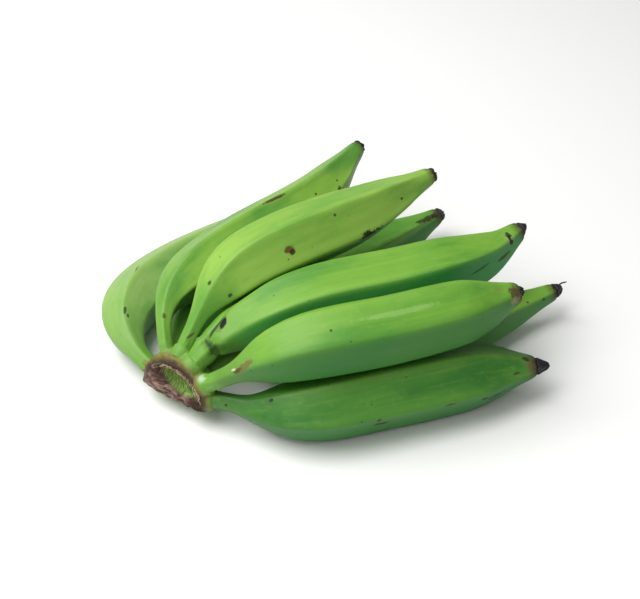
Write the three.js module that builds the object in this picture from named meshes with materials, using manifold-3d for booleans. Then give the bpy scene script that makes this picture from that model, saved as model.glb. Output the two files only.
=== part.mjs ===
// A hand of eight green plantains, lying on a table.
//
// Eight fruits ("fingers") grow out of one crown, the woody pad that was cut from the stalk.
// Each finger is one fruit with its own stalk-like neck, and ends in the dried rest of its flower.
// Millimetres, +Z up. The origin is the middle of the hand's footprint, on the table.

import * as THREE from "three";
import { mergeVertices } from "three/addons/utils/BufferGeometryUtils.js";
import Module from "manifold-3d";

const wasm = await Module();
wasm.setup();

// Driving dimensions, in millimetres and degrees.
const gap = 0.3; // clearance that keeps touching pieces apart
const facetSteps = 4; // flat strips between two ridges of a finger
const rings = 22; // sections along a finger
const ridges = [0, 68, 140, 214, 288]; // where a finger's five ridges stand round its section
const ridgeSharpness = 0.5; // 0 is a round section, 1 a straight-sided pentagon
const threadRadius = 0.5; // the dried style on one tip

// The fingers, the four that lie on the table first. Each has the middle line it grows along, from
// inside the crown to the tip, and its half thickness: girth at the fullest, neck at the thinnest.
// The neck ends, the body is full and the tip starts to taper at these shares of its length.
// The roll turns the ridges about the middle line.
const fingers = [
  {
    name: "finger_1",
    onTable: true,
    girth: 25,
    neck: 6.2,
    neckEnd: 0.12,
    full: 0.36,
    taper: 0.8,
    roll: 27,
    path: [
      [-75, -75, 20],
      [-62, -79, 23],
      [-46, -86, 24],
      [-12, -88.5, 25],
      [52, -71, 25],
      [114, -54, 25],
      [144, -51, 27],
    ],
  },
  {
    name: "finger_2",
    onTable: true,
    girth: 22,
    neck: 6,
    neckEnd: 0.12,
    full: 0.34,
    taper: 0.66,
    roll: 0,
    thread: [[2, 0, 3], [3, 0, 7], [7, 1, 7.5]],
    path: [
      [-81, -62, 25],
      [-68, -46, 28],
      [-46, -39, 26],
      [-12, -37, 22],
      [60, -22, 22],
      [120, 4, 22],
      [166, 28, 25],
    ],
  },
  {
    name: "finger_3",
    onTable: true,
    girth: 22,
    neck: 7.5,
    neckEnd: 0.12,
    full: 0.34,
    taper: 0.72,
    roll: -20,
    path: [
      [-89, -53, 27],
      [-97, -34, 27],
      [-91, -9, 26],
      [-61, 9, 23],
      [-14, 30, 22],
      [44, 74, 22],
      [89, 112, 25],
    ],
  },
  {
    name: "finger_4",
    onTable: true,
    girth: 22,
    neck: 6.5,
    neckEnd: 0.1,
    full: 0.3,
    taper: 0.75,
    roll: -10,
    path: [
      [-107, -50, 20],
      [-121, -37, 23],
      [-134, -8, 24],
      [-127, 27, 23],
      [-101, 57, 22],
      [-48, 95, 22],
      [8, 126, 24],
    ],
  },
  {
    name: "finger_5",
    girth: 23.8,
    neck: 6.3,
    neckEnd: 0.14,
    full: 0.35,
    taper: 0.82,
    roll: -40,
    path: [
      [-77, -73, 30],
      [-65, -77, 40],
      [-45, -79, 54],
      [-13, -77, 69],
      [51, -61, 72],
      [108, -39, 72],
      [130, -32, 76],
    ],
  },
  {
    name: "finger_6",
    girth: 24,
    neck: 7.5,
    neckEnd: 0.1,
    full: 0.3,
    taper: 0.73,
    roll: -26,
    path: [
      [-85, -63, 36],
      [-74, -57, 45],
      [-52, -45, 53.5],
      [-8, -28, 62],
      [60, -7, 64],
      [112, 14, 68],
      [137, 34, 74],
    ],
  },
  {
    name: "finger_7",
    girth: 22.5,
    neck: 5.5,
    neckEnd: 0.13,
    full: 0.34,
    taper: 0.68,
    roll: -34,
    path: [
      [-92, -55, 39],
      [-85, -46, 51],
      [-74, -29, 64],
      [-54, -9, 75],
      [-24, 10, 80],
      [34, 48, 80],
      [79, 83, 84],
    ],
  },
  {
    name: "finger_8",
    girth: 21.5,
    neck: 5,
    neckEnd: 0.13,
    full: 0.36,
    taper: 0.72,
    roll: -8,
    path: [
      [-99, -53, 34],
      [-103, -42, 45],
      [-102, -17, 53],
      [-90, 4, 56],
      [-58, 37, 58],
      [-6, 85, 60],
      [29, 138, 69],
    ],
  },
];

// The crown pad: its size, how deep its cut face is dished, and where its lower edge stands.
const crown = {
  width: 53,
  height: 30,
  depth: 16,
  rim: 2.5,
  dish: 2.5,
  foot: [-98, -68, 14],
  turn: -35,
  lean: 15,
};

// The collars: their length, and how much wider than the neck they are at the foot and at the lip.
const collar = { length: 7, foot: 1.8, lip: 0.9 };

const skinGreen = new THREE.MeshStandardMaterial({ color: 0x6a9f3a, roughness: 0.45, metalness: 0 });
const crownBrown = new THREE.MeshStandardMaterial({ color: 0x6b5236, roughness: 0.85, metalness: 0 });
const driedBlack = new THREE.MeshStandardMaterial({ color: 0x1d1a20, roughness: 0.8, metalness: 0 });

const up = new THREE.Vector3(0, 0, 1);
const radians = THREE.MathUtils.degToRad;

function spineOf(finger) {
  const points = finger.path.map((p) => new THREE.Vector3(...p));
  return new THREE.CatmullRomCurve3(points, false, "centripetal");
}

// Where a section stands: its centre, the way the finger runs there, and the section's two axes.
function stationOf(spine, along) {
  const centre = spine.getPointAt(along);
  const forward = spine.getTangentAt(along);
  const side = new THREE.Vector3().crossVectors(forward, up).normalize();
  const lift = new THREE.Vector3().crossVectors(side, forward);
  return { centre, forward, side, lift };
}

// A finger's half thickness at a share of its length: neck, shoulder, body and tapering tip.
function outlineOf(finger) {
  const { girth, neck, neckEnd, full, taper } = finger;
  const tip = 1 - taper;
  const stops = [
    [0, neck * 0.92],
    [neckEnd * 0.5, neck],
    [neckEnd, neck * 1.16],
    [neckEnd + (full - neckEnd) * 0.5, girth * 0.74],
    [full, girth * 0.95],
    [(full + taper) / 2, girth],
    [taper, girth * 0.94],
    [taper + tip * 0.45, girth * 0.7],
    [taper + tip * 0.8, girth * 0.42],
    [1, girth * 0.3],
  ].map(([along, half]) => new THREE.Vector2(along, half));
  const curve = new THREE.SplineCurve(stops);
  return (along) => {
    const k = Math.min(stops.length - 2, stops.findLastIndex((stop) => stop.x <= along));
    const part = (along - stops[k].x) / (stops[k + 1].x - stops[k].x);
    return curve.getPoint((k + part) / (stops.length - 1)).y;
  };
}

// How far the ridged section reaches at an angle, where 1 is its ridges' circle.
function sectionReach(facet, part) {
  const from = ridges[facet];
  const span = (facet + 1 < ridges.length ? ridges[facet + 1] : ridges[0] + 360) - from;
  const angle = radians(from + span * part);
  const chord = Math.cos(radians(span / 2)) / Math.cos(radians(span * (part - 0.5)));
  return { angle, reach: 1 + ridgeSharpness * (chord - 1) };
}

// A finger as a lathed spindle, bent along its spine and given ridges. Clearance grows it all over.
function fingerGeometry(finger, clearance = 0) {
  const spine = spineOf(finger);
  const outline = outlineOf(finger);
  const sides = ridges.length * facetSteps;
  const profile = [new THREE.Vector2(0, 0)];
  for (let i = 0; i <= rings; i++) profile.push(new THREE.Vector2(1, i));
  profile.push(new THREE.Vector2(0, rings));
  const geometry = new THREE.LatheGeometry(profile, sides);
  const position = geometry.getAttribute("position");
  const rows = profile.length;
  for (let v = 0; v < position.count; v++) {
    const column = Math.floor(v / rows) % sides;
    const row = v % rows;
    const along = THREE.MathUtils.clamp((row - 1) / rings, 0, 1);
    const { centre, forward, side, lift } = stationOf(spine, along);
    const { angle, reach } = sectionReach(Math.floor(column / facetSteps), (column % facetSteps) / facetSteps);
    const onAxis = row === 0 || row === rows - 1;
    const radius = onAxis ? 0 : outline(along) * reach + clearance;
    const turned = angle + radians(finger.roll);
    centre.addScaledVector(lift, radius * Math.cos(turned));
    centre.addScaledVector(side, radius * Math.sin(turned));
    if (along === 0) centre.addScaledVector(forward, -clearance);
    if (along === 1) centre.addScaledVector(forward, clearance);
    position.setXYZ(v, centre.x, centre.y, centre.z);
  }
  return geometry;
}

// manifold-3d wants merged vertices and nothing but their positions.
function solidOf(geometry) {
  const bare = geometry.clone();
  bare.deleteAttribute("normal");
  bare.deleteAttribute("uv");
  const merged = mergeVertices(bare, 1e-3);
  return new wasm.Manifold(
    new wasm.Mesh({
      numProp: 3,
      vertProperties: merged.getAttribute("position").array,
      triVerts: new Uint32Array(merged.index.array),
    }),
  );
}

function geometryOf(solid) {
  const mesh = solid.getMesh();
  const geometry = new THREE.BufferGeometry();
  geometry.setAttribute("position", new THREE.BufferAttribute(mesh.vertProperties, 3));
  geometry.setIndex(new THREE.BufferAttribute(mesh.triVerts, 1));
  geometry.computeVertexNormals();
  return geometry;
}

// The dried flower rest at the tip: a short blunt cone that stands on the finger's end. One still
// carries a thread of the withered style.
function blossomGeometry(finger) {
  const spine = spineOf(finger);
  const { centre, forward } = stationOf(spine, 1);
  const foot = finger.girth * 0.26;
  const profile = [
    [0, 0],
    [foot, 0],
    [foot * 0.94, 1.6],
    [foot * 0.66, 4],
    [foot * 0.3, 5.4],
    [0, 5.6],
  ].map(([r, h]) => new THREE.Vector2(r, h));
  const cone = new THREE.LatheGeometry(profile, 14);
  const turn = new THREE.Quaternion().setFromUnitVectors(new THREE.Vector3(0, 1, 0), forward);
  cone.applyQuaternion(turn);
  centre.addScaledVector(forward, gap);
  cone.translate(centre.x, centre.y, centre.z);
  if (!finger.thread) return cone;
  let solid = solidOf(cone);
  const joints = finger.thread.map((offset) => new THREE.Vector3(...offset).add(centre));
  for (let i = 0; i + 1 < joints.length; i++) solid = solid.add(solidOf(threadGeometry(joints[i], joints[i + 1])));
  return geometryOf(solid);
}

// One straight stretch of the dried thread, with round ends.
function threadGeometry(from, to) {
  const run = new THREE.Vector3().subVectors(to, from);
  const geometry = new THREE.CapsuleGeometry(threadRadius, run.length(), 3, 8);
  const turn = new THREE.Quaternion().setFromUnitVectors(new THREE.Vector3(0, 1, 0), run.clone().normalize());
  geometry.applyQuaternion(turn);
  const middle = from.clone().add(to).multiplyScalar(0.5);
  geometry.translate(middle.x, middle.y, middle.z);
  return geometry;
}

// The crown swells into a short tapering collar round the foot of every neck.
function collarGeometry(finger) {
  const { length, foot, lip } = collar;
  const spine = spineOf(finger);
  const { centre, forward } = stationOf(spine, length / spine.getLength() / 2);
  const geometry = new THREE.CylinderGeometry(finger.neck + lip, finger.neck + foot, length, 16);
  const turn = new THREE.Quaternion().setFromUnitVectors(new THREE.Vector3(0, 1, 0), forward);
  geometry.applyQuaternion(turn);
  geometry.translate(centre.x, centre.y, centre.z);
  return geometry;
}

// The crown: a half-moon pad that stands on its straight edge. Its cut face looks to the front left
// and leans back. Every neck is let into it.
function crownGeometry() {
  const { width, height, depth, rim, dish, foot, turn, lean } = crown;
  const half = width / 2 - rim;
  const top = height - rim;
  const shape = new THREE.Shape();
  shape.moveTo(-half, rim);
  shape.quadraticCurveTo(0, rim - 3, half, rim);
  shape.bezierCurveTo(half, top * 0.75, half * 0.55, top, 0, top);
  shape.bezierCurveTo(-half * 0.55, top, -half, top * 0.75, -half, rim);
  const geometry = new THREE.ExtrudeGeometry(shape, {
    depth: depth - 2 * rim,
    curveSegments: 8,
    bevelEnabled: true,
    bevelThickness: rim,
    bevelSize: rim,
    bevelSegments: 2,
  });
  geometry.translate(0, 0, rim - depth);
  const hollow = new THREE.SphereGeometry(1, 24, 12);
  hollow.scale(width * 0.33, height * 0.33, dish * 1.5);
  hollow.translate(0, height * 0.5, dish * 0.5);
  for (const shaped of [geometry, hollow]) {
    shaped.rotateX(radians(90 - lean));
    shaped.rotateZ(radians(turn));
    shaped.translate(...foot);
  }
  let solid = solidOf(geometry).subtract(solidOf(hollow));
  for (const finger of fingers) solid = solid.add(solidOf(collarGeometry(finger)));
  for (const finger of fingers) solid = solid.subtract(solidOf(fingerGeometry(finger, gap)));
  return geometryOf(solid);
}

// A finger that lies on the table is let down, neck and all, until its belly touches.
for (const finger of fingers.filter((f) => f.onTable)) {
  const geometry = fingerGeometry(finger);
  geometry.computeBoundingBox();
  const drop = geometry.boundingBox.min.z;
  finger.path = finger.path.map(([x, y, z]) => [x, y, z - drop]);
}

const hand = new THREE.Group();

function addPiece(name, geometry, material) {
  const mesh = new THREE.Mesh(geometry, material);
  mesh.name = name;
  hand.add(mesh);
}

addPiece("crown", crownGeometry(), crownBrown);
for (const finger of fingers) {
  addPiece(finger.name, fingerGeometry(finger), skinGreen);
  addPiece(finger.name.replace("finger", "blossom_end"), blossomGeometry(finger), driedBlack);
}

// The middle of the footprint becomes the origin.
const middle = new THREE.Box3().setFromObject(hand).getCenter(new THREE.Vector3());
hand.position.set(-middle.x, -middle.y, 0);

export default hand;
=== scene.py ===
import math
import random

import bmesh
import bpy
import numpy as np
from mathutils import Matrix, Vector, noise
from mathutils.bvhtree import BVHTree


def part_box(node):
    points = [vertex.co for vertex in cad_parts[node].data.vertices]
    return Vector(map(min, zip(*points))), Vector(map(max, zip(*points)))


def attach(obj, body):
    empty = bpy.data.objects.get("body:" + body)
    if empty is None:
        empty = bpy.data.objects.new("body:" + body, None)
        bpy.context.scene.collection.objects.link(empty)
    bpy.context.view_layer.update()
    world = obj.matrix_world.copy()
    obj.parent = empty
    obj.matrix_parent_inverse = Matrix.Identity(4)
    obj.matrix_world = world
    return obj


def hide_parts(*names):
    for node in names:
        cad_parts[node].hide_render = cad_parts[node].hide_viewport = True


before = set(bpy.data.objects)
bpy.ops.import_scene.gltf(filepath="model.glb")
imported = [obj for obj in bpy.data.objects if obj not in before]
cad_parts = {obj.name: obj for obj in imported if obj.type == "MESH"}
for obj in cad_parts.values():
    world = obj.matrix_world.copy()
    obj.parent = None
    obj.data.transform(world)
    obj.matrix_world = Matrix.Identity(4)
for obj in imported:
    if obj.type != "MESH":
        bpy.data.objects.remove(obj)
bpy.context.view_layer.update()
mm = 0.001
scene = bpy.context.scene
scene.view_settings.view_transform = "Standard"

fingerNames = [f"finger_{n}" for n in range(1, 9)]
blossomOf = {name: name.replace("finger", "blossom_end") for name in fingerNames}

cameraSettings = {
    "aim": (-0.0108, -0.017, 0.04),
    "elevation": 42,  # degrees above the table
    "distance": 0.95,
    "lens": 78,
    "sensorWidth": 36,
}

lightSettings = {
    "key": {"at": (-0.62, -0.02, 1.25), "size": 1.3, "watts": 24},
    "front": {"at": (-0.6, -1.0, 1.4), "size": 1.6, "watts": 10},
    "sky": (1.0, 1.0, 0.98),
    "skyStrength": 0.22,
}


def toLinear(hexColour):
    parts = [int(hexColour[i : i + 2], 16) / 255 for i in (1, 3, 5)]
    return [p / 12.92 if p <= 0.04045 else ((p + 0.055) / 1.055) ** 2.4 for p in parts] + [1]


# The camera looks from the front, down at its aim.
def addCamera(settings):
    tilt = math.radians(settings["elevation"])
    away = Vector((0, -math.cos(tilt), math.sin(tilt)))
    data = bpy.data.cameras.new("camera")
    data.lens = settings["lens"]
    data.sensor_width = settings["sensorWidth"]
    camera = bpy.data.objects.new("camera", data)
    camera.location = Vector(settings["aim"]) + away * settings["distance"]
    camera.rotation_euler = (math.pi / 2 - tilt, 0, 0)
    scene.collection.objects.link(camera)
    scene.camera = camera


def addLight(name, at, size, watts):
    data = bpy.data.lights.new(name, "AREA")
    data.shape = "DISK"
    data.size = size
    data.energy = watts
    light = bpy.data.objects.new(name, data)
    light.location = at
    towards = Vector(cameraSettings["aim"]) - light.location
    light.rotation_euler = towards.to_track_quat("-Z", "Y").to_euler()
    scene.collection.objects.link(light)


# Adds a node. Its inputs go by name, or by place among those in use, and each takes a number, a hex colour,
# a socket, or the node to read from. Of a MapRange, 1 and 2 are the range it reads, 3 and 4 what it gives.
def addNode(tree, kind, inputs=None, **settings):
    node = tree.nodes.new("ShaderNode" + kind)
    for key, value in settings.items():
        setattr(node, key, value)
    live = [i for i in node.inputs if i.enabled]
    for key, value in (inputs or {}).items():
        socket = live[key] if isinstance(key, int) else next(i for i in live if i.name == key)
        if isinstance(value, bpy.types.Node):
            value = next(o for o in value.outputs if o.enabled)
        if isinstance(value, bpy.types.NodeSocket):
            tree.links.new(value, socket)
        else:
            socket.default_value = toLinear(value) if isinstance(value, str) else value
    return node


def newMaterial(name):
    material = bpy.data.materials.new(name)
    material.use_nodes = True
    tree = material.node_tree
    return material, tree, tree.nodes["Principled BSDF"]


# Puts a finished mesh in the scene as a piece of the object that stands for these CAD nodes.
def pieceFrom(mesh, name, material, slot, *nodes):
    piece = bpy.data.objects.new(name, mesh)
    scene.collection.objects.link(piece)
    mesh.materials.clear()
    mesh.materials.append(material)
    for face in mesh.polygons:
        face.use_smooth = True
    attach(piece, "root")
    if nodes:
        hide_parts(*nodes)
    return piece


floorSettings = {
    "halfWidth": 2.5,
    "colour": "#f1f1ef",
    "roughness": 0.8,
    "grainSize": 2.5 * mm,
    "relief": {"Strength": 0.04, "Distance": 0.2 * mm},
}


# A board with a coat of matt paint: even and pale, with no gloss.
def addFloor(settings):
    material, tree, shader = newMaterial("mattPaintedBoard")
    where = addNode(tree, "TexCoord").outputs["Object"]
    grain = addNode(tree, "TexNoise", {"Vector": where, "Scale": 1 / settings["grainSize"], "Detail": 3})
    dents = addNode(tree, "Bump", {"Height": grain, **settings["relief"]})
    tree.links.new(dents.outputs["Normal"], shader.inputs["Normal"])
    shader.inputs["Base Color"].default_value = toLinear(settings["colour"])
    shader.inputs["Roughness"].default_value = settings["roughness"]
    bm = bmesh.new()
    bmesh.ops.create_grid(bm, x_segments=1, y_segments=1, size=settings["halfWidth"])
    mesh = bpy.data.meshes.new("floor")
    bm.to_mesh(mesh)
    bm.free()
    floor = bpy.data.objects.new("floor", mesh)
    mesh.materials.append(material)
    scene.collection.objects.link(floor)


print("plantains: camera, light and floor")
addCamera(cameraSettings)
addLight("key", **lightSettings["key"])
addLight("front", **lightSettings["front"])
world = bpy.data.worlds.new("studio")
scene.world = world
world.use_nodes = True
sky = world.node_tree.nodes["Background"].inputs
sky["Color"].default_value = (*lightSettings["sky"], 1)
sky["Strength"].default_value = lightSettings["skyStrength"]
addFloor(floorSettings)


# The drawn solid with its doubled points joined.
def mergedCopy(node):
    bm = bmesh.new()
    bm.from_mesh(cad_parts[node].data)
    bmesh.ops.remove_doubles(bm, verts=bm.verts, dist=0.01 * mm)
    return bm


# The finger's rings of points, from the pole at its root to the one at its tip.
def ringsOf(bm):
    low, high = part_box("crown")
    crownMiddle = (Vector(low) + Vector(high)) / 2
    poles = sorted(bm.verts, key=lambda v: -len(v.link_edges))[:2]
    ring = [min(poles, key=lambda v: (v.co - crownMiddle).length)]
    rings, seen = [], set(ring)
    while ring:
        rings.append(ring)
        beside = [e.other_vert(v) for v in ring for e in v.link_edges]
        ring = [v for v in dict.fromkeys(beside) if v not in seen]
        seen.update(ring)
    return rings[1:-1]


# The middle line of a finger, with the directions forward, sideways and up along it.
def spineOf(name):
    bm = mergedCopy(name)
    rings = ringsOf(bm)
    centres = np.array([np.mean([v.co for v in ring], axis=0) for ring in rings])
    forward = np.gradient(centres, axis=0)
    forward /= np.linalg.norm(forward, axis=1)[:, None]
    side = np.cross(forward, (0, 0, 1))
    side /= np.linalg.norm(side, axis=1)[:, None]
    lift = np.cross(side, forward)
    steps = np.linalg.norm(np.diff(centres, axis=0), axis=1)
    reached = np.concatenate([[0], np.cumsum(steps)])
    middle = len(rings) // 2
    section = np.array([v.co for v in rings[middle]]) - centres[middle]
    angles = np.arctan2(section @ side[middle], section @ lift[middle])
    order = np.argsort(angles)
    reach = np.linalg.norm(section, axis=1)[order]
    high = (reach > np.roll(reach, 1)) & (reach > np.roll(reach, -1))
    bm.free()
    return {
        "centres": centres,
        "forward": forward,
        "side": side,
        "lift": lift,
        "reached": reached,
        "length": reached[-1],
        "ridges": np.sort(angles[order][high]),
    }


# What the spine holds under this key, at these distances from its root.
def alongSpine(spine, key, distances):
    return np.stack([np.interp(distances, spine["reached"], spine[key][:, k]) for k in range(3)], axis=-1)


# Points as they would lie on the finger pulled straight: up, sideways and along, in metres.
def straightened(points, spine):
    nearest = np.full(len(points), 1e9)
    laid = np.zeros((len(points), 3))
    last = len(spine["centres"]) - 2
    for k in range(last + 1):
        start, step = spine["centres"][k], spine["centres"][k + 1] - spine["centres"][k]
        # the first and the last step run on past the ends of the finger
        part = (points - start) @ step / (step @ step)
        part = np.clip(part, -9 if k == 0 else 0, 9 if k == last else 1)
        off = points - start - part[:, None] * step
        far = np.linalg.norm(off, axis=1)
        blend = np.clip(part, 0, 1)[:, None]
        lift = spine["lift"][k] * (1 - blend) + spine["lift"][k + 1] * blend
        side = spine["side"][k] * (1 - blend) + spine["side"][k + 1] * blend
        along = spine["reached"][k] + part * (spine["reached"][k + 1] - spine["reached"][k])
        near = far < nearest
        laid[near] = np.stack([(off * lift).sum(1), (off * side).sum(1), along], axis=1)[near]
        nearest[near] = far[near]
    return laid


# 1 on a ridge, 0 in the middle of the flat between two ridges.
def ridgeShare(angles, ridges):
    share = np.zeros(len(angles))
    for ridge, following in zip(ridges, np.roll(ridges, -1)):
        flat = (following - ridge) % (2 * math.pi)
        turned = (angles - ridge) % (2 * math.pi)
        inside = turned <= flat
        share[inside] = np.abs(turned[inside] - flat / 2) / (flat / 2)
    return share


def smoothStep(low, high, value):
    part = np.clip((value - low) / (high - low), 0, 1)
    return part * part * (3 - 2 * part)


def noiseAt(points, size, seed):
    shift = Vector((seed * 7.3, seed * 3.1, seed * 5.7))
    return np.array([noise.noise(Vector(p) / size + shift) for p in points])


def vectorsOf(items, key):
    flat = np.zeros(len(items) * 3, np.float32)
    items.foreach_get(key, flat)
    return flat.reshape(-1, 3).astype(float)


def moveTo(mesh, points):
    mesh.vertices.foreach_set("co", points.astype(np.float32).ravel())
    mesh.update()


def keep(mesh, name, values):
    kind, key = ("FLOAT_VECTOR", "vector") if values.ndim == 2 else ("FLOAT", "value")
    attribute = mesh.attributes.new(name, kind, "POINT")
    attribute.data.foreach_set(key, values.astype(np.float32).ravel())


# The mesh that these modifiers make of a bmesh.
def finished(bm, name, *modifiers):
    mesh = bpy.data.meshes.new(name)
    bm.to_mesh(mesh)
    bm.free()
    holder = bpy.data.objects.new(name, mesh)
    scene.collection.objects.link(holder)
    for kind, settings in modifiers:
        modifier = holder.modifiers.new(kind.title(), kind)
        for key, value in settings.items():
            setattr(modifier, key, value)
    bpy.context.view_layer.update()
    shown = holder.evaluated_get(bpy.context.evaluated_depsgraph_get())
    result = bpy.data.meshes.new_from_object(shown)
    bpy.data.objects.remove(holder)
    bpy.data.meshes.remove(mesh)
    result.name = name
    return result


spines = {name: spineOf(name) for name in fingerNames}

# Ranges are shares of a finger's length, from its root to its tip.
skinSettings = {
    "subdivisions": 3,
    "bodyStarts": (0.12, 0.3),
    "bodyEnds": (0.86, 0.98),
    "neckStarts": (0.0, 0.03),
    "neckEnds": (0.12, 0.26),
    # painted shade: where it fades in along the finger, how wide its edge is, and the sides behind that get
    # it too
    "shadeStarts": (0.06, 0.2),
    "shadeWidth": 10,  # degrees
    "shadeBehind": (-115, -85),  # degrees
    "lumpSize": 24 * mm,
    "lumpStretch": 0.45,
    "lumpHeight": 0.5 * mm,
    "rippleSize": 6 * mm,
    "rippleHeight": 0.09 * mm,
    "ridgeWidth": 0.26,  # share of half a flat
    "ridgeHeight": 0.5 * mm,
    "flatness": 0.5,  # how far the sides between ridges go from round to flat
    "flats": 5,
    "roundShare": 0.88,  # share of the reach of a ridge at which a side neither rises nor sinks
    "neckFoldHeight": 0.35 * mm,
    "floorGap": 0.1 * mm,
}


# The skin of a finger, as fine as the looks need, with what the peel material reads kept at its points.
def fingerMesh(name, spine, settings, look):
    bm = mergedCopy(name)
    bmesh.ops.join_triangles(
        bm, faces=bm.faces, angle_face_threshold=math.pi, angle_shape_threshold=math.pi
    )
    levels = settings["subdivisions"]
    mesh = finished(bm, name + "_skin", ("SUBSURF", {"levels": levels, "render_levels": levels}))
    points = vectorsOf(mesh.vertices, "co")
    laid = straightened(points, spine)
    along = laid[:, 2] / spine["length"]
    lift, side = (alongSpine(spine, key, laid[:, 2]) for key in ("lift", "side"))
    twist = math.radians(look["twist"])
    turned = laid.copy()
    turned[:, 0] = laid[:, 0] * math.cos(twist) - laid[:, 1] * math.sin(twist)
    turned[:, 1] = laid[:, 0] * math.sin(twist) + laid[:, 1] * math.cos(twist)
    points += lift * (turned - laid)[:, :1] + side * (turned - laid)[:, 1:2]
    moveTo(mesh, points)
    laid = turned
    around = np.arctan2(laid[:, 1], laid[:, 0])
    ridges = np.sort((spine["ridges"] + twist + math.pi) % (2 * math.pi) - math.pi)
    ridge = ridgeShare(around, ridges)
    seed = look["seed"]
    body = smoothStep(*settings["bodyStarts"], along) * (1 - smoothStep(*settings["bodyEnds"], along))
    neck = smoothStep(*settings["neckStarts"], along) * (1 - smoothStep(*settings["neckEnds"], along))
    drawnOut = laid * (1, 1, settings["lumpStretch"])
    out = noiseAt(drawnOut, settings["lumpSize"], seed) * settings["lumpHeight"] * body
    out += noiseAt(drawnOut, settings["rippleSize"], seed + 3) * settings["rippleHeight"]
    sharp = look["sharp"]
    out += np.exp(-(((1 - ridge) / settings["ridgeWidth"]) ** 2)) * settings["ridgeHeight"] * body * sharp
    out += ridge * neck * settings["neckFoldHeight"]
    halfFlat = math.pi / settings["flats"]
    flatShape = math.cos(halfFlat) / np.cos(ridge * halfFlat) - settings["roundShare"]
    out += flatShape * np.hypot(laid[:, 0], laid[:, 1]) * settings["flatness"] * body * sharp
    for bulge in look["swellings"]:
        ahead = along - bulge["along"]
        aside = around - np.radians(bulge["around"] + bulge["slant"] * ahead)
        aside = (aside + math.pi) % (2 * math.pi) - math.pi
        acrossShare = aside / math.radians(bulge["wide"])
        alongShare = ahead / bulge["long"]
        out += np.exp(-(acrossShare**2) - alongShare**2) * bulge["height"]
    points += vectorsOf(mesh.vertices, "normal") * out[:, None]
    points[:, 2] = np.maximum(points[:, 2], settings["floorGap"])
    moveTo(mesh, points)
    keep(mesh, "straight", straightened(points, spine))
    keep(mesh, "ridge", ridge)
    keep(mesh, "along", along)
    # painted shade: the sides past this ridge, and the ones behind, get a deeper green as if turned from
    # the light
    past = np.degrees(around)
    shadeEdge = (look["shadeFrom"] - look["shadeSoft"], look["shadeFrom"] + settings["shadeWidth"])
    paintedShade = smoothStep(*shadeEdge, past) + 1 - smoothStep(*settings["shadeBehind"], past)
    keep(mesh, "paintedShade", np.clip(paintedShade, 0, 1) * smoothStep(*settings["shadeStarts"], along))
    return mesh


peelColours = {
    "pale": "#94b84f",
    "bloom": "#96b865",
    "root": "#669838",
    "speck": "#2a2c16",
    "tipBrown": "#4b3a22",
    "tipBlack": "#17151a",
}

# A pattern with a stretch below 1 is drawn out along the finger.
peelSettings = {
    "patchSize": 26 * mm,
    "patchStretch": 0.35,
    "streakSize": 2.4 * mm,
    "streakStretch": 0.035,
    "mottleSize": 4 * mm,
    "grainSize": 0.7 * mm,
    "speckCell": 9 * mm,
    "speckShare": 0.38,  # share of the cells that have a speck
    "tearSize": 2.2 * mm,
    "markDepth": 6 * mm,
    "shadeShare": 0.78,
    "rootEdge": (0.058, 0.1),  # share of the length where the crown's green ends
    "roughness": (0.42, 0.54),
    "driedRougher": 0.3,
    "surface": {"IOR": 1.42, "Specular IOR Level": 0.36, "Coat Weight": 0.06, "Coat Roughness": 0.3},
    "relief": {"Strength": 0.35, "Distance": 0.12 * mm},
}
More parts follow.
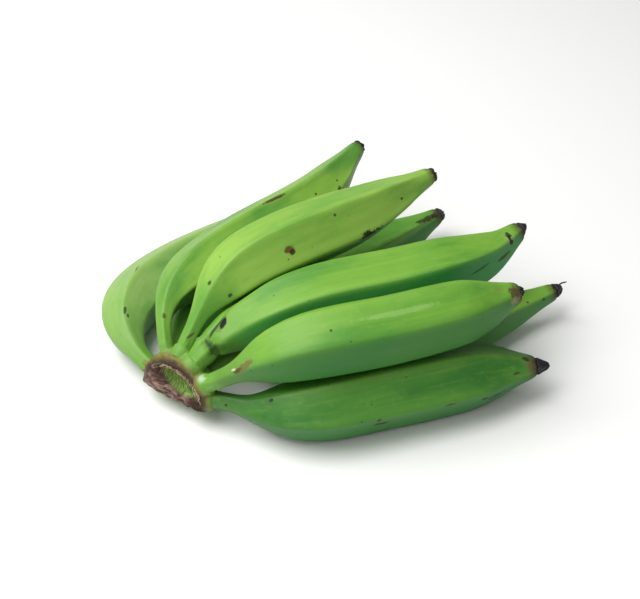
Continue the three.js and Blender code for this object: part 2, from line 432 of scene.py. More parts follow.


# Banana peel: a smooth skin grown over ridged fruit and covered in plant wax. It is paler along its ridges,
# partly its own colour and partly a painted highlight, with faint lengthwise streaks, patches of deeper
# green, corky specks and dried scars; painted shade darkens the sides turned from the light.
def peelMaterial(name, look, spine, mesh, settings):
    material, tree, shader = newMaterial("waxyGreenPeel" + name[-1])
    straight = addNode(tree, "Attribute", attribute_name="straight").outputs["Vector"]
    ridge, along, paintedShade = (
        addNode(tree, "Attribute", attribute_name=key).outputs["Fac"]
        for key in ("ridge", "along", "paintedShade")
    )
    own = addNode(tree, "VectorMath", {0: straight, 1: (look["seed"] * 0.31, 0.17, 0)}, operation="ADD")

    # patches and lengthwise streaks, then a mottle and a grain that are as long as they are wide
    stretch = (1, 1, settings["patchStretch"])
    drawn = addNode(tree, "VectorMath", {0: own, 1: stretch}, operation="MULTIPLY")
    patches = addNode(tree, "TexNoise", {"Vector": drawn, "Scale": 1 / settings["patchSize"], "Detail": 4})
    stretch = (1, 1, settings["streakStretch"])
    drawn = addNode(tree, "VectorMath", {0: own, 1: stretch}, operation="MULTIPLY")
    streaks = addNode(tree, "TexNoise", {"Vector": drawn, "Scale": 1 / settings["streakSize"], "Detail": 3})
    mottle = addNode(tree, "TexNoise", {"Vector": own, "Scale": 1 / settings["mottleSize"], "Detail": 4})
    grain = addNode(tree, "TexNoise", {"Vector": own, "Scale": 1 / settings["grainSize"], "Detail": 2})

    share = addNode(tree, "MapRange", {0: patches, 1: 0.32, 2: 0.58}, interpolation_type="SMOOTHSTEP")
    colour = addNode(tree, "Mix", {0: share, 1: look["deep"], 2: look["fresh"]}, data_type="RGBA")
    # paler along the ridges: partly the peel's own colour, partly a painted highlight
    ridgePaleAndHighlight = addNode(tree, "MapRange", {0: ridge, 1: 0.5, 2: 1.0}, interpolation_type="SMOOTHSTEP")
    uneven = addNode(tree, "MapRange", {0: patches, 1: 0.2, 2: 0.8, 3: 0.0, 4: 0.18})
    share = addNode(tree, "Math", {0: ridgePaleAndHighlight, 1: uneven}, operation="MULTIPLY")
    colour = addNode(tree, "Mix", {0: share, 1: colour, 2: peelColours["pale"]}, data_type="RGBA")

    # tints that follow a pattern: where they start and end in it, and how strong they are at either end
    tints = [
        (streaks, 0.52, 0.78, 0, 0.18, peelColours["pale"]),
        (streaks, 0.25, 0.45, 0.3, 0, look["deep"]),
        (mottle, 0.55, 0.8, 0, 0.12, peelColours["bloom"]),
    ]
    for pattern, start, end, atStart, atEnd, tint in tints:
        share = addNode(tree, "MapRange", {0: pattern, 1: start, 2: end, 3: atStart, 4: atEnd})
        colour = addNode(tree, "Mix", {0: share, 1: colour, 2: tint}, data_type="RGBA")

    # painted shade: a deeper, cooler green on the sides turned away from the light
    share = addNode(tree, "Math", {0: paintedShade, 1: settings["shadeShare"]}, operation="MULTIPLY")
    colour = addNode(tree, "Mix", {0: share, 1: colour, 2: look["shade"]}, data_type="RGBA")

    # the neck is a plainer, darker green: partly its own colour, partly painted shade among the crowded
    # necks
    uneven = addNode(tree, "Math", {0: mottle, 1: 0.05, 2: along}, operation="MULTIPLY_ADD")
    share = addNode(tree, "MapRange", {0: uneven, 1: 0.08, 2: 0.28, 3: 0.8, 4: 0})
    colour = addNode(tree, "Mix", {0: share, 1: colour, 2: look["neck"]}, data_type="RGBA")

    # up to where it comes out of the crown it is the crown's green
    start, end = settings["rootEdge"]
    edge = {0: along, 1: start, 2: end, 3: 1, 4: 0}
    share = addNode(tree, "MapRange", edge, interpolation_type="SMOOTHSTEP")
    share = addNode(tree, "Math", {0: share, 1: look["rooted"]}, operation="MULTIPLY")
    colour = addNode(tree, "Mix", {0: share, 1: colour, 2: peelColours["root"]}, data_type="RGBA")

    # a corky speck in some of the cells
    cells = addNode(tree, "TexVoronoi", {"Vector": own, "Scale": 1 / settings["speckCell"]})
    kind = addNode(tree, "SeparateColor", {0: cells.outputs["Color"]}).outputs[0]
    chosen = addNode(tree, "Math", {0: kind, 1: 1 - settings["speckShare"]}, operation="GREATER_THAN")
    dot = addNode(tree, "MapRange", {0: cells.outputs["Distance"], 1: 0.05, 2: 0.085, 3: 0.75, 4: 0})
    dry = addNode(tree, "Math", {0: dot, 1: chosen}, operation="MULTIPLY")
    colour = addNode(tree, "Mix", {0: dry, 1: colour, 2: peelColours["speck"]}, data_type="RGBA")

    # scars, painted highlights and painted shade: an oval round each mark's middle, with its edge torn by a
    # noise
    tearing = {"Vector": own, "Scale": 1 / settings["tearSize"], "Detail": 3, "Roughness": 0.65}
    torn = addNode(tree, "TexNoise", tearing)
    torn = addNode(tree, "Math", {0: torn, 1: 0.5}, operation="SUBTRACT")
    for peelMark in look["marks"]:
        frameOfMark = {
            "Vector": straight,
            "Location": skinPoint(mesh, spine, peelMark["along"], peelMark["around"]),
            "Rotation": (math.radians(peelMark["tilt"]), 0, math.radians(peelMark["around"])),
            "Scale": (settings["markDepth"], peelMark["wide"] * mm / 2, peelMark["long"] * mm / 2),
        }
        place = addNode(tree, "Mapping", frameOfMark, vector_type="TEXTURE")
        away = addNode(tree, "VectorMath", {0: place}, operation="LENGTH").outputs["Value"]
        edge = addNode(tree, "Math", {0: torn, 1: peelMark["ragged"], 2: away}, operation="MULTIPLY_ADD")
        inside = addNode(tree, "MapRange", {0: edge, 1: 0.75, 2: 1.1, 3: peelMark["depth"], 4: 0})
        colour = addNode(tree, "Mix", {0: inside, 1: colour, 2: peelMark["colour"]}, data_type="RGBA")
        dry = addNode(tree, "Math", {0: dry, 1: inside}, operation="MAXIMUM")

    # the last few millimetres have dried with the flower
    uneven = addNode(tree, "Math", {0: torn, 1: look["tipRagged"], 2: along}, operation="MULTIPLY_ADD")
    tip = look["tipFrom"]
    brown = addNode(tree, "MapRange", {0: uneven, 1: tip - 0.02, 2: tip + 0.005, 3: 0, 4: 0.85})
    colour = addNode(tree, "Mix", {0: brown, 1: colour, 2: peelColours["tipBrown"]}, data_type="RGBA")
    black = addNode(tree, "MapRange", {0: uneven, 1: tip + 0.002, 2: tip + 0.012})
    colour = addNode(tree, "Mix", {0: black, 1: colour, 2: peelColours["tipBlack"]}, data_type="RGBA")
    dry = addNode(tree, "Math", {0: dry, 1: brown}, operation="MAXIMUM")

    tree.links.new(colour.outputs[2], shader.inputs["Base Color"])
    smoothest, roughest = settings["roughness"]
    waxed = addNode(tree, "MapRange", {0: patches, 1: 0.3, 2: 0.7, 3: smoothest, 4: roughest})
    rough = addNode(tree, "Math", {0: dry, 1: settings["driedRougher"], 2: waxed}, operation="MULTIPLY_ADD")
    tree.links.new(rough.outputs[0], shader.inputs["Roughness"])
    for key, value in settings["surface"].items():
        shader.inputs[key].default_value = value
    height = addNode(tree, "Math", {0: streaks, 1: mottle}, operation="ADD")
    height = addNode(tree, "Math", {0: grain, 1: 0.2, 2: height}, operation="MULTIPLY_ADD")
    height = addNode(tree, "Math", {0: dry, 1: -1.2, 2: height}, operation="MULTIPLY_ADD")
    dents = addNode(tree, "Bump", {"Height": height, **settings["relief"]})
    tree.links.new(dents.outputs["Normal"], shader.inputs["Normal"])
    return material


# The point of the skin at a share of the length and an angle round it, on the finger pulled straight.
def skinPoint(mesh, spine, along, around):
    laid = vectorsOf(mesh.attributes["straight"].data, "vector")
    turned = np.arctan2(laid[:, 1], laid[:, 0]) - math.radians(around)
    offAngle = np.abs((turned + math.pi) % (2 * math.pi) - math.pi)
    offAlong = np.abs(laid[:, 2] / spine["length"] - along)
    # the length weighs more than the angle, because the skin's faces are longer than they are wide
    return tuple(float(c) for c in laid[np.argmin(offAngle * 0.3 + offAlong)])


# A scar in the peel, or a painted highlight or painted shade laid on like one. Its middle lies at a share
# of the length and an angle round the fruit from the top. It is so many millimetres long and wide, and
# turned by its tilt.
# Ragged is how torn its edge is, and depth how much of its colour shows.
def mark(along, around, long, wide, colour, tilt=0, ragged=1.2, depth=0.9):
    place = {"along": along, "around": around, "long": long, "wide": wide, "tilt": tilt}
    return {**place, "colour": colour, "ragged": ragged, "depth": depth}


# A swelling of the flesh, or a crease where its height is below zero. It is a share of the fruit long and
# so many degrees wide, and a slanting one turns by so many degrees over the whole fruit.
def swelling(along, around, long, wide, height, slant=0):
    place = {"along": along, "around": around, "long": long, "wide": wide}
    return {**place, "height": height, "slant": slant}


# What a fruit is like unless its own entry says otherwise. An entry's twist is how many degrees the fruit
# is turned about its length. Its sides with painted shade are those more than shadeFrom degrees round from
# the top.
usualLook = {
    "sharp": 1,  # share of the usual height of the ridges
    "rooted": 1,  # how much of the crown's green runs up the neck
    # painted shade: the green painted on the sides turned from the light
    "shade": "#24702c",
    "shadeSoft": 8,  # degrees
    "tipFrom": 0.985,
    "tipRagged": 0.03,
    "marks": [],
    "swellings": [],
}
freckle = "#33401c"

fingerLooks = {
    "finger_1": {
        "seed": 1,
        # painted shade: this lowest finger gets a darker green all over, and a darker neck, for the shade
        # of the finger above it
        "deep": "#34702a",
        "fresh": "#4c8530",
        "neck": "#35602a",
        "rooted": 0.15,
        "shadeFrom": 84,
        "shadeSoft": 16,
        "twist": -15,
        "sharp": 0.8,
        "marks": [
            mark(0.082, 63, 2.5, 2, "#2c3218"),
            mark(0.213, 19, 3, 2.5, "#2c3218"),
            mark(0.493, 97, 12, 4, "#3a2f18", ragged=2),
            mark(0.485, 84, 3, 3, "#2c3218", ragged=2),
            mark(0.7, 82, 7, 2, "#4f4a24", ragged=2),
            mark(0.82, 98, 5, 3.5, "#1f1d12"),
            mark(0.86, 112, 16, 3, "#2c2716", ragged=2.4),
            mark(0.93, 60, 5, 2, "#3f4420", ragged=2),
            mark(0.975, 40, 7, 9, "#6b6040", ragged=2.4, depth=0.7),
            mark(0.965, 10, 5, 4, "#2f3319", ragged=2),
        ],
    },
    "finger_2": {
        "seed": 2,
        "deep": "#529034",
        "fresh": "#7ab03e",
        "neck": "#4c8030",
        "shadeFrom": 50,
        "twist": -20,
        "marks": [
            mark(0.95, 60, 2.5, 2, "#23240f"),
            mark(0.9, 40, 2, 1.8, freckle),
        ],
    },
    "finger_3": {
        "seed": 3,
        "deep": "#46822e",
        "fresh": "#629c36",
        "neck": "#55882f",
        "shadeFrom": 50,
        "twist": -15,
        "tipRagged": 0.04,
        "marks": [
            mark(0.935, 26, 24, 4.5, "#33281a", ragged=2),
            mark(0.975, 30, 10, 5, "#1f1a14", ragged=1.4),
        ],
    },
    "finger_4": {
        "seed": 4,
        "deep": "#5f9444",
        "fresh": "#88ac5c",
        "neck": "#5f9038",
        "shadeFrom": 75,
        "twist": 8,
        "marks": [
            mark(0.2, 2, 6, 2.2, freckle, ragged=1.6),
            mark(0.187, 10, 4, 2, "#3c4a20"),
            mark(0.349, -7, 9, 1.6, "#55592b", tilt=18, ragged=1.6),
        ],
    },
    "finger_5": {
        "seed": 5,
        "deep": "#4c8a2e",
        "fresh": "#6c9f36",
        "neck": "#587f34",
        "shadeFrom": 62,
        "shadeSoft": 24,
        "twist": 30,
        "sharp": 0.45,
        "tipFrom": 0.99,
        "tipRagged": 0.05,
        "marks": [
            mark(0.188, 45, 19, 5, "#6b6432", tilt=9),
            mark(0.16, 50, 8, 3, "#4f3f20", tilt=9),
            mark(0.147, 40, 3.4, 1.8, "#bfbf98", ragged=2.2),
            # painted highlight: a long pale streak of sheen along the upper ridge
            mark(0.61, 22, 52, 4, "#b4d586", ragged=1.4, depth=0.22),
            mark(0.975, 75, 8, 7, "#9a8f68", ragged=2, depth=0.8),
            mark(0.978, 40, 8, 8, "#4e3a22", ragged=2.2),
            mark(0.93, 15, 6, 3, "#7f7a3c", ragged=2.4, depth=0.6),
            mark(0.42, 30, 2, 2, freckle),
        ],
    },
    "finger_6": {
        "seed": 6,
        # painted shade: this finger's turned-away sides get a bluer green
        "shade": "#228544",
        "deep": "#4c882e",
        "fresh": "#6fa036",
        "neck": "#5c8f34",
        "shadeFrom": 44,
        "twist": 0,
        "marks": [
            mark(0.118, -2, 6, 4, "#667038", depth=0.6),
            mark(0.134, -11, 8, 4.6, "#0b0f08", tilt=38, ragged=0.5, depth=1),
            # painted shade: the dark blotches and lines in the pinch below the neck's swelling and along
            # its crease
            mark(0.083, 60, 6, 14, "#1c2f12", ragged=1.4, depth=0.7),
            mark(0.08, 12, 1.6, 11, "#24401a", ragged=0.8, depth=0.7),
            mark(0.092, 66, 14, 8, "#2a4a1c", ragged=1, depth=0.45),
            mark(0.122, -21, 23, 1.6, "#1c3a14", tilt=13, ragged=0.4),
            mark(0.825, 71, 16, 1.5, "#2f4d1e", tilt=10, ragged=0.5),
            mark(0.936, 36, 9, 9, "#8b9a62", ragged=2, depth=0.55),
            mark(0.942, 24, 4, 5, "#14170f", ragged=2.2),
            mark(0.94, 38, 2.6, 6, "#14170f", tilt=-20, ragged=1.6),
            mark(0.935, 54, 4, 4, "#14170f", tilt=20, ragged=2.2),
            mark(0.9, 80, 12, 3, "#35512a", ragged=1.6),
        ],
        "swellings": [
            swelling(0.14, -75, 0.06, 48, 5.5 * mm),
            swelling(0.07, -60, 0.035, 60, 3.5 * mm),
            swelling(0.122, -21, 0.044, 8, -1.5 * mm, slant=-300),
            swelling(0.082, 48, 0.014, 54, -2.6 * mm),
            swelling(0.08, 0, 0.012, 400, -1.0 * mm),
            swelling(0.115, 40, 0.022, 50, 1.4 * mm),
        ],
    },
    "finger_7": {
        "seed": 7,
        "deep": "#639a38",
        "fresh": "#87b048",
        "neck": "#5c9038",
        "shadeFrom": 104,
        "twist": -18,
        "tipFrom": 0.988,
        "tipRagged": 0.02,
        "marks": [
            mark(0.437, 59, 7.5, 5, "#5a3517"),
            mark(0.445, 64, 4.5, 4, "#2b1a0c", ragged=0.6),
            mark(0.212, 4, 3.5, 3, "#363a18"),
            mark(0.221, 74, 3.5, 2.5, "#2b3616"),
            mark(0.7, 95, 20, 8, "#26240f", ragged=2.6),
            mark(0.68, 88, 9, 6, "#14140c", ragged=2),
            mark(0.6, 30, 2.5, 2, freckle),
            mark(0.84, 60, 3, 2, freckle),
            mark(0.07, 38, 6, 2, "#4c4a28", tilt=-30),
        ],
    },
    "finger_8": {
        "seed": 8,
        "deep": "#4f8932",
        "fresh": "#7aa63c",
        "neck": "#62933a",
        "shadeFrom": 68,
        "twist": 6,
        "tipFrom": 0.99,
        "tipRagged": 0.02,
        "marks": [
            mark(0.595, -1, 21, 2.4, "#3d2f17", tilt=-3),
            mark(0.116, 4, 4, 2.5, "#474a20"),
            mark(0.79, 64, 7, 3.4, "#231f10", tilt=20, ragged=2.4),
            mark(0.81, 46, 2, 1.6, freckle),
            mark(0.72, 35, 2.5, 2, freckle),
        ],
    },
}

for name in fingerNames:
    print("plantains: peel of", name)
    look = {**usualLook, **fingerLooks[name]}
    skin = fingerMesh(name, spines[name], skinSettings, look)
    peel = peelMaterial(name, look, spines[name], skin, peelSettings)
    pieceFrom(skin, name + "_skin", peel, "peel", name)


# Places on the cut face are measured across from its middle and up from its foot. Pairs are where a change
# starts and ends, unless a comment says otherwise.
crownSettings = {
    "turn": -35,  # degrees that the cut face is turned about the vertical
    "lean": 15,  # degrees that it leans back
    "voxel": 0.7 * mm,
    "neckLength": 15 * mm,
    "neckSwell": 1.0 * mm,
    "neckTaper": 1.35,
    "lipHeight": 10 * mm,
    "lipBulge": 1.9 * mm,
    "outline": (26.5 * mm, 26.5 * mm),  # how far the cut reaches to each side, and up
    "hollow": {
        "at": (2.5 * mm, 13.6 * mm),
        "half": (17.5 * mm, 7.4 * mm),
        "slope": -0.18,
        "depth": 4.2 * mm,
        "edge": (0.6, 1.0),  # shares of its half width and height
    },
    "faceThick": (1.5 * mm, 4.5 * mm),  # behind the plane of the cut
    "faceEdge": (0.9, 1.02),  # shares of the outline
    "footDrop": 2.5 * mm,
    "lipEdge": (0.75, 1.1),  # shares of the lip's height
    "lipWave": {"start": 4 * mm, "long": 7 * mm, "share": 0.55},
    "crest": {"at": 1.16, "wide": 0.12, "from": (-0.35, 0.15), "height": 1.0 * mm},  # shares of the hollow
    "fibreHeight": 0.45 * mm,
    "layerSize": 2.4 * mm,
    "fibreSize": 1.3 * mm,
    "skinDeep": (6 * mm, 12 * mm),  # behind the plane of the cut
    "skinRough": 0.35 * mm,
    "skinGrains": (2.5 * mm, 1.1 * mm),  # a coarse one and a fine one
    # where the painted shade on the lip lies, across and up the cut face
    "darkAcross": (8 * mm, 19 * mm),
    "darkBelow": (12 * mm, 20 * mm),
    "roughness": (0.48, 0.78),  # of the skin and of the cut
    "specular": 0.36,
    "relief": {"Strength": 0.8, "Distance": 0.6 * mm},
}


# Directions of the cut face: along its width, out of it, and up it.
def faceAxes(settings):
    turn = Matrix.Rotation(math.radians(settings["turn"]), 3, "Z")
    lean = Matrix.Rotation(math.radians(-settings["lean"]), 3, "X")
    return [np.array(turn @ lean @ Vector(axis)) for axis in ((1, 0, 0), (0, -1, 0), (0, 0, 1))]


# The start of a finger, swollen a little at its root, where the crown's skin runs on to it.
def neckStub(name, settings):
    spine = spines[name]
    cut, forward = (alongSpine(spine, key, settings["neckLength"]) for key in ("centres", "forward"))
    bm = mergedCopy(name)
    parts = bm.verts[:] + bm.edges[:] + bm.faces[:]
    bmesh.ops.bisect_plane(bm, geom=parts, plane_co=cut, plane_no=forward, clear_outer=True)
    bmesh.ops.holes_fill(bm, edges=bm.edges)
    bm.normal_update()
    points = np.array([v.co for v in bm.verts])
    reached = straightened(points, spine)[:, 2] / settings["neckLength"]
    swell = settings["neckSwell"] * (1 - settings["neckTaper"] * np.clip(reached, 0, 1))
    for v, amount in zip(bm.verts, swell):
        v.co += v.normal * amount
    mesh = bpy.data.meshes.new("neck")
    bm.to_mesh(mesh)
    bm.free()
    return mesh


# The crown's skin, run on to the necks and shaped on its cut face. It comes with the frame of that face.
def crownMesh(settings):
    across, out, up = faceAxes(settings)
    bm = mergedCopy("crown")
    bm.normal_update()
    # the cut is the largest flat that faces out
    flats = [f for f in bm.faces if np.dot(f.normal, out) > 0.999]
    front = max((f.calc_area(), np.dot(f.verts[0].co, out)) for f in flats)[1]
    face = np.array([v.co for f in flats for v in f.verts if abs(np.dot(v.co, out) - front) < 0.5 * mm])
    middle = ((face @ across).max() + (face @ across).min()) / 2
    foot = (face @ up).min() - settings["footDrop"]
    for name in fingerNames:
        neck = neckStub(name, settings)
        bm.from_mesh(neck)
        bpy.data.meshes.remove(neck)
    mesh = finished(
        bm,
        "crown_skin_piece",
        ("REMESH", {"mode": "VOXEL", "voxel_size": settings["voxel"]}),
        ("SMOOTH", {"factor": 0.5, "iterations": 8}),
    )
    points = vectorsOf(mesh.vertices, "co")
    u, v, depth = points @ across - middle, points @ up - foot, front - points @ out
    edge = np.hypot(u / settings["outline"][0], v / settings["outline"][1])
    cut = 1 - smoothStep(*settings["faceThick"], np.abs(depth))
    cut *= 1 - smoothStep(*settings["faceEdge"], edge)
    hollow = settings["hollow"]
    ringAcross = (u - hollow["at"][0]) / hollow["half"][0]
    ringUp = (v - hollow["at"][1] - (u - hollow["at"][0]) * hollow["slope"]) / hollow["half"][1]
    ring = np.hypot(ringAcross, ringUp)
    inside = 1 - smoothStep(*hollow["edge"], ring)
    rim = settings["crest"]
    crest = np.exp(-(((ring - rim["at"]) / rim["wide"]) ** 2)) * smoothStep(*rim["from"], ringUp)
    ripple = settings["lipWave"]
    wave = ripple["share"] * np.sin((u + ripple["start"]) / ripple["long"])
    lipTop = settings["lipHeight"] + u * hollow["slope"]
    lip = (1 - smoothStep(*settings["lipEdge"], v / lipTop)) * (1 - inside)
    flat = np.stack([u, v, np.zeros(len(u))], axis=1)
    layers = noiseAt(flat * (0.3, 1, 1), settings["layerSize"], 4)
    fibres = noiseAt(flat * (1, 0.3, 1), settings["fibreSize"], 5) * (1 - lip) + layers * lip * 1.5
    coarse, fine = settings["skinGrains"]
    rough = noiseAt(points, coarse, 6) + 0.5 * noiseAt(points, fine, 7)
    push = cut * (
        lip * settings["lipBulge"] * (0.7 - 0.9 * wave + 0.8 * noiseAt(flat, 6 * mm, 8))
        - inside * hollow["depth"]
        + crest * rim["height"] * (1 + 1.2 * noiseAt(flat, 2 * mm, 9))
        + fibres * settings["fibreHeight"]
    )
    points += push[:, None] * out
    skin = 1 - smoothStep(*settings["skinDeep"], depth)
    rough *= settings["skinRough"] * skin * (0.4 + 0.6 * cut)
    points += vectorsOf(mesh.vertices, "normal") * rough[:, None]
    moveTo(mesh, points)
    keep(mesh, "cut", cut)
    keep(mesh, "hollow", inside * cut)
    keep(mesh, "crest", crest * cut)
    keep(mesh, "lip", lip * cut)
    # painted shade: darker over the lip at one end of the cut face, low down
    dark = smoothStep(*settings["darkAcross"], u) * (1 - smoothStep(*settings["darkBelow"], v))
    keep(mesh, "dark", dark)
    # how far behind the cut, in millimetres; past the outline it grows on from the same rim
    keep(mesh, "behind", np.maximum(np.abs(depth) / mm, (edge - 0.96) * 24))
    keep(mesh, "faceSpot", flat)
    return mesh, (across, out, up, middle, foot, front)


crownColours = {
    "rim": "#3b2415",
    "olive": "#6f6a2e",
    "cutDark": "#22150c",
    "cutBrown": "#4e3520",
    "lipDark": "#38231a",
    "lipPink": "#977a6e",
    "lipPaintedShade": "#2a180d",
    "fleshDeep": "#3f6420",
    "fleshPale": "#8aa350",
    "crest": "#b9a58e",
    "pit": "#170f0a",
}

# Painted highlights on two swollen roots, and painted shade on the lowest neck: place in the frame, reach,
# colour and depth.
paintedRootLightAndShade = [
    ((-87.6 * mm, -92 * mm, 40.5 * mm), 5.5 * mm, "#c4d6ba", 0.6),
    ((-93 * mm, -76 * mm, 50 * mm), 5 * mm, "#a9c894", 0.5),
    ((-74 * mm, -97 * mm, 20 * mm), 15 * mm, "#3c6b28", 0.9),
]


# Cut banana crown: torn while it was green, then dried. The rim has gone dark brown and corky, the thick
# lower lip pinkish brown; the hollow is still olive, with pale fibres; green skin runs on to the necks.
# Painted highlights sit on two roots, and painted shade on the lowest neck and at one end of the lip.
def crownMaterial(settings, colours):
    material, tree, shader = newMaterial("driedCutCrown")
    masks = {
        key: addNode(tree, "Attribute", attribute_name=key).outputs["Fac"]
        for key in ("cut", "hollow", "crest", "lip", "dark", "behind")
    }
    spot = addNode(tree, "Attribute", attribute_name="faceSpot").outputs["Vector"]
    where = addNode(tree, "TexCoord").outputs["Object"]
    sideways = addNode(tree, "VectorMath", {0: spot, 1: (0.3, 1, 1)}, operation="MULTIPLY")
    upwards = addNode(tree, "VectorMath", {0: spot, 1: (1, 0.22, 1)}, operation="MULTIPLY")
    # where each pattern is read, its size, its detail and its roughness
    patterns = [
        (sideways, 2.2 * mm, 4, 0.65),
        (upwards, 1.0 * mm, 4, 0.65),
        (where, 5 * mm, 4, 0.6),
        (where, 1.4 * mm, 3, 0.7),
    ]
    layers, fibres, blotch, pits = (
        addNode(tree, "TexNoise", {"Vector": at, "Scale": 1 / size, "Detail": detail, "Roughness": rough})
        for at, size, detail, rough in patterns
    )

    # skin behind the cut: brown rim, olive, then green
    uneven = addNode(tree, "Math", {0: blotch, 1: 6.0, 2: masks["behind"]}, operation="MULTIPLY_ADD")
    share = addNode(tree, "MapRange", {0: uneven, 1: 4.2, 2: 8}, interpolation_type="SMOOTHSTEP")
    colour = addNode(tree, "Mix", {0: share, 1: colours["rim"], 2: colours["olive"]}, data_type="RGBA")
    share = addNode(tree, "MapRange", {0: uneven, 1: 7, 2: 12}, interpolation_type="SMOOTHSTEP")
    colour = addNode(tree, "Mix", {0: share, 1: colour, 2: peelColours["root"]}, data_type="RGBA")
    # painted highlights and painted shade round the roots
    for place, size, tone, depth in paintedRootLightAndShade:
        spotPlace = {"Vector": where, "Location": place, "Scale": (size, size, size)}
        away = addNode(tree, "Mapping", spotPlace, vector_type="TEXTURE")
        away = addNode(tree, "VectorMath", {0: away}, operation="LENGTH").outputs["Value"]
        fading = {0: away, 1: 0.2, 2: 1, 3: depth, 4: 0}
        share = addNode(tree, "MapRange", fading, interpolation_type="SMOOTHSTEP")
        colour = addNode(tree, "Mix", {0: share, 1: colour, 2: tone}, data_type="RGBA")

    # the cut face: dark fibres, the layered lip with painted shade at one end, the flesh in the hollow and
    # the crest round it
    share = addNode(tree, "MapRange", {0: fibres, 1: 0.35, 2: 0.65})
    face = addNode(tree, "Mix", {0: share, 1: colours["cutDark"], 2: colours["cutBrown"]}, data_type="RGBA")
    layered = addNode(tree, "MapRange", {0: layers, 1: 0.42, 2: 0.6})
    tones = {0: layered, 1: colours["lipDark"], 2: colours["lipPink"]}
    lipTone = addNode(tree, "Mix", tones, data_type="RGBA")
    # painted shade at that end of the lip
    lipTone = addNode(tree, "Mix", {0: masks["dark"], 1: lipTone, 2: colours["lipPaintedShade"]}, data_type="RGBA")
    face = addNode(tree, "Mix", {0: masks["lip"], 1: face, 2: lipTone}, data_type="RGBA")
    share = addNode(tree, "MapRange", {0: fibres, 1: 0.42, 2: 0.62})
    tones = {0: share, 1: colours["fleshDeep"], 2: colours["fleshPale"]}
    flesh = addNode(tree, "Mix", tones, data_type="RGBA")
    share = addNode(tree, "MapRange", {0: masks["hollow"], 1: 0.25, 2: 0.7})
    face = addNode(tree, "Mix", {0: share, 1: face, 2: flesh}, data_type="RGBA")
    patchy = addNode(tree, "MapRange", {0: pits, 1: 0.46, 2: 0.62, 3: 0.0, 4: 0.85})
    share = addNode(tree, "Math", {0: masks["crest"], 1: patchy}, operation="MULTIPLY")
    face = addNode(tree, "Mix", {0: share, 1: face, 2: colours["crest"]}, data_type="RGBA")
    colour = addNode(tree, "Mix", {0: masks["cut"], 1: colour, 2: face}, data_type="RGBA")
    share = addNode(tree, "MapRange", {0: pits, 1: 0.28, 2: 0.42, 3: 0.6, 4: 0})
    share = addNode(tree, "Math", {0: share, 1: masks["cut"]}, operation="MULTIPLY")
    colour = addNode(tree, "Mix", {0: share, 1: colour, 2: colours["pit"]}, data_type="RGBA")
    tree.links.new(colour.outputs[2], shader.inputs["Base Color"])
    smooth, coarse = settings["roughness"]
    rough = addNode(tree, "MapRange", {0: masks["cut"], 1: 0, 2: 1, 3: smooth, 4: coarse})
    tree.links.new(rough.outputs[0], shader.inputs["Roughness"])
    shader.inputs["Specular IOR Level"].default_value = settings["specular"]
    height = addNode(tree, "Math", {0: fibres, 1: pits}, operation="ADD")
    height = addNode(tree, "Math", {0: height, 1: masks["cut"]}, operation="MULTIPLY")
    dents = addNode(tree, "Bump", {"Height": height, **settings["relief"]})
    tree.links.new(dents.outputs["Normal"], shader.inputs["Normal"])
    return material


print("plantains: crown")
crownPiece, crownFrame = crownMesh(crownSettings)
pieceFrom(crownPiece, "crown_skin_piece", crownMaterial(crownSettings, crownColours), "crown_skin", "crown")

fibreSettings = {
    "seed": 11,
    "count": 46,
    "thick": 0.22 * mm,
    "long": (4 * mm, 10 * mm),
    "round": (0.08, 0.92),  # share of half a turn, from the hollow's right end
    "ring": (0.75, 1.2),  # shares of the hollow's half width and height
    "skew": (1.1, 1.75),  # radians from the way out of the hollow
    "wave": (0.2, 0.6),  # millimetres
    "sides": 6,
    "cuts": 7,
    "above": 0.15 * mm,
    "curl": 0.9 * mm,
    "rayStart": 20 * mm,
    "colour": "#cfbf9c",
    "darkColour": "#7d6a45",
    "roughness": 0.7,
}


# Loose fibres torn out of the crown lie over its hollow.
def fibreMesh(crown, crownFrame, settings):
    across, out, up, middle, foot, front = crownFrame
    rng = random.Random(settings["seed"])
    tree = BVHTree.FromPolygons([v.co for v in crown.vertices], [p.vertices for p in crown.polygons])
    hollow = crownSettings["hollow"]
    bm = bmesh.new()
    for _ in range(settings["count"]):
        length = rng.uniform(*settings["long"])
        turn = rng.uniform(*settings["round"]) * math.pi
        ring = rng.uniform(*settings["ring"])
        aside = math.cos(turn) * hollow["half"][0] * ring
        u = middle + hollow["at"][0] + aside
        v = foot + hollow["at"][1] + math.sin(turn) * hollow["half"][1] * ring + aside * hollow["slope"]
        lean = turn + rng.choice((-1, 1)) * rng.uniform(*settings["skew"])
        ahead = across * math.cos(lean) + up * math.sin(lean)
        sideways = up * math.cos(lean) - across * math.sin(lean)
        wave = rng.uniform(*settings["wave"]) * mm
        phase = rng.uniform(0, 6)
        strand = bmesh.new()
        size = {"radius1": settings["thick"], "radius2": settings["thick"] / 3, "depth": length}
        bmesh.ops.create_cone(strand, cap_ends=True, segments=settings["sides"], **size)
        lengthwise = [e for e in strand.edges if abs(e.verts[0].co.z - e.verts[1].co.z) > length / 2]
        bmesh.ops.subdivide_edges(strand, edges=lengthwise, cuts=settings["cuts"])
        for p in strand.verts:
            share = p.co.z / length + 0.5
            bend = math.sin(share * 5 + phase) * wave
            start = across * u + up * v + ahead * (share - 0.5) * length + sideways * bend
            start += out * (front + settings["rayStart"])
            hit = tree.ray_cast(Vector(start), Vector(-out))[0]
            rest = np.array(hit) if hit else start - out * (settings["rayStart"] + 2 * mm)
            raised = settings["above"] + settings["curl"] * share * share
            p.co = rest + out * (raised + p.co.y) + sideways * p.co.x
        strandMesh = bpy.data.meshes.new("strand")
        strand.to_mesh(strandMesh)
        strand.free()
        bm.from_mesh(strandMesh)
        bpy.data.meshes.remove(strandMesh)
    bmesh.ops.recalc_face_normals(bm, faces=bm.faces)
    mesh = bpy.data.meshes.new("crown_fibres")
    bm.to_mesh(mesh)
    bm.free()
    return mesh


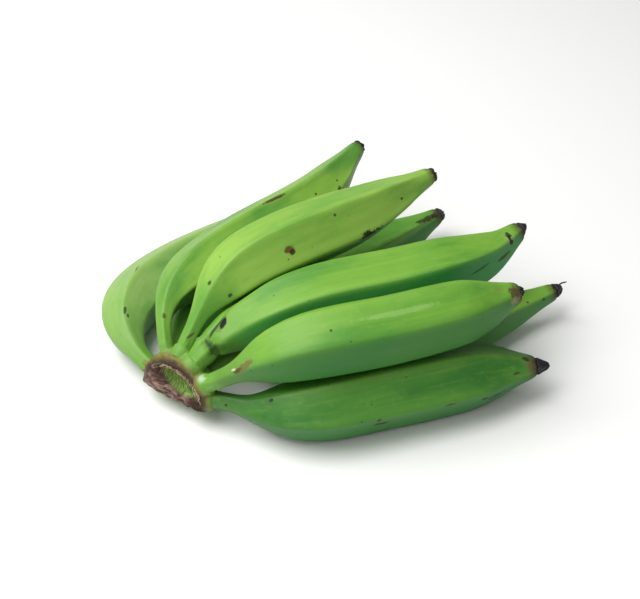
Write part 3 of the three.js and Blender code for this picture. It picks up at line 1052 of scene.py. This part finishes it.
# Dried fibre out of the fruit stalk: thin, pale and dull, browner in places.
def fibreMaterial(settings):
    material, tree, shader = newMaterial("driedBananaFibre")
    where = addNode(tree, "TexCoord").outputs["Object"]
    tone = addNode(tree, "TexNoise", {"Vector": where, "Scale": 1 / (4 * mm), "Detail": 2})
    share = addNode(tree, "MapRange", {0: tone, 1: 0.4, 2: 0.6})
    tones = {0: share, 1: settings["darkColour"], 2: settings["colour"]}
    colour = addNode(tree, "Mix", tones, data_type="RGBA")
    tree.links.new(colour.outputs[2], shader.inputs["Base Color"])
    shader.inputs["Roughness"].default_value = settings["roughness"]
    return material


print("plantains: crown fibres")
fibrePiece = fibreMesh(crownPiece, crownFrame, fibreSettings)
pieceFrom(fibrePiece, "crown_fibres", fibreMaterial(fibreSettings), "crown_skin")

blossomSettings = {
    "subdivisions": 3,
    "foldHeight": 0.55 * mm,
    "crumpleSize": 2.6 * mm,
    "crumpleHeight": 0.6 * mm,
    "shrunkOver": 6 * mm,
    "setBack": 0.9 * mm,
    "black": "#100e14",
    "violet": "#2d2830",
    "torn": "#4f4033",
    "roughness": 0.62,
    "relief": {"Strength": 0.7, "Distance": 0.4 * mm},
}

# How each dried flower has shrunk: its share of the length, how far it narrows to a point, its share of the
# width all round, and how many folds it has.
blossomShapes = {
    "finger_1": {"stretch": 1.4, "point": 0.45, "broad": 1.0, "folds": 5},
    "finger_2": {"stretch": 1.0, "point": 0.1, "broad": 1.0, "folds": 6},
    "finger_3": {"stretch": 0.8, "point": 0.1, "broad": 0.95, "folds": 5},
    "finger_4": {"stretch": 0.8, "point": 0.2, "broad": 0.95, "folds": 6},
    "finger_5": {"stretch": 0.4, "point": 0.0, "broad": 0.6, "folds": 7},
    "finger_6": {"stretch": 1.05, "point": 0.4, "broad": 0.9, "folds": 5},
    "finger_7": {"stretch": 0.5, "point": 0.0, "broad": 0.98, "folds": 6},
    "finger_8": {"stretch": 0.45, "point": 0.0, "broad": 0.98, "folds": 5},
}


# Dried flower: shrivelled tissue gone black with a violet cast, brown at its torn edges, quite dull.
def blossomMaterial(settings):
    material, tree, shader = newMaterial("shrivelledBlossom")
    where = addNode(tree, "TexCoord").outputs["Object"]
    flaking = {"Vector": where, "Scale": 1 / (3 * mm), "Detail": 4, "Roughness": 0.65}
    flakes = addNode(tree, "TexNoise", flaking)
    grit = addNode(tree, "TexNoise", {"Vector": where, "Scale": 1 / (0.9 * mm), "Detail": 3})
    share = addNode(tree, "MapRange", {0: flakes, 1: 0.4, 2: 0.62})
    colour = addNode(tree, "Mix", {0: share, 1: settings["black"], 2: settings["violet"]}, data_type="RGBA")
    share = addNode(tree, "MapRange", {0: flakes, 1: 0.6, 2: 0.72, 3: 0, 4: 0.8})
    colour = addNode(tree, "Mix", {0: share, 1: colour, 2: settings["torn"]}, data_type="RGBA")
    tree.links.new(colour.outputs[2], shader.inputs["Base Color"])
    shader.inputs["Roughness"].default_value = settings["roughness"]
    height = addNode(tree, "Math", {0: flakes, 1: grit}, operation="ADD")
    dents = addNode(tree, "Bump", {"Height": height, **settings["relief"]})
    tree.links.new(dents.outputs["Normal"], shader.inputs["Normal"])
    return material


# The dried flower at a finger's tip: its CAD solid, folded, crumpled and shrunk in the finger's own frame.
def blossomMesh(name, shape, settings, seed):
    spine = spines[name]
    bm = mergedCopy(blossomOf[name])
    levels = settings["subdivisions"]
    smoothing = {"levels": levels, "render_levels": levels}
    mesh = finished(bm, blossomOf[name] + "_dried", ("SUBSURF", smoothing))
    points = vectorsOf(mesh.vertices, "co")
    laid = straightened(points, spine)
    ahead = laid[:, 2] - laid[:, 2].min()
    around = np.arctan2(laid[:, 1], laid[:, 0])
    normals = vectorsOf(mesh.vertices, "normal")
    share = np.clip(ahead / settings["shrunkOver"], 0, 1)
    forward = spine["forward"][-1]
    folds = np.cos(around * shape["folds"] + seed) * settings["foldHeight"] * smoothStep(0, 0.5, share)
    crumple = noiseAt(points, settings["crumpleSize"], seed) * settings["crumpleHeight"]
    points += normals * (folds + crumple)[:, None]
    points += np.outer(ahead * (shape["stretch"] - 1) - settings["setBack"] * (1 - share), forward)
    inward = laid[:, :1] * spine["lift"][-1] + laid[:, 1:2] * spine["side"][-1]
    points -= inward * (share * shape["point"] + 1 - shape["broad"])[:, None]
    moveTo(mesh, points)
    return mesh


styleSettings = {
    "bends": [(1.5, -1, 1), (3, 0, 6), (5, 0, 7.6), (8, 1, 7.6)],  # millimetres from the end of the fruit
    "thickness": 1.1 * mm,
    "endShare": 0.5,  # share of its thickness left at its far end
}


# The withered style still hangs on one tip.
def styleMesh(start, settings):
    curve = bpy.data.curves.new("style", "CURVE")
    curve.dimensions = "3D"
    curve.bevel_depth = settings["thickness"] / 2
    curve.use_fill_caps = True
    line = curve.splines.new("BEZIER")
    line.bezier_points.add(len(settings["bends"]) - 1)
    for point, bend in zip(line.bezier_points, settings["bends"]):
        point.co = start + Vector(bend) * mm
        point.handle_left_type = point.handle_right_type = "AUTO"
    line.bezier_points[-1].radius = settings["endShare"]
    holder = bpy.data.objects.new("style", curve)
    mesh = bpy.data.meshes.new_from_object(holder)
    bpy.data.objects.remove(holder)
    return mesh


print("plantains: blossom ends")
dried = blossomMaterial(blossomSettings)
style = styleMesh(Vector(spines["finger_2"]["centres"][-1]), styleSettings)
pieceFrom(style, "withered_style", dried, "dried_blossom")
for seed, name in enumerate(fingerNames):
    mesh = blossomMesh(name, blossomShapes[name], blossomSettings, seed + 20)
    pieceFrom(mesh, mesh.name, dried, "dried_blossom", blossomOf[name])

print("plantains: finished")
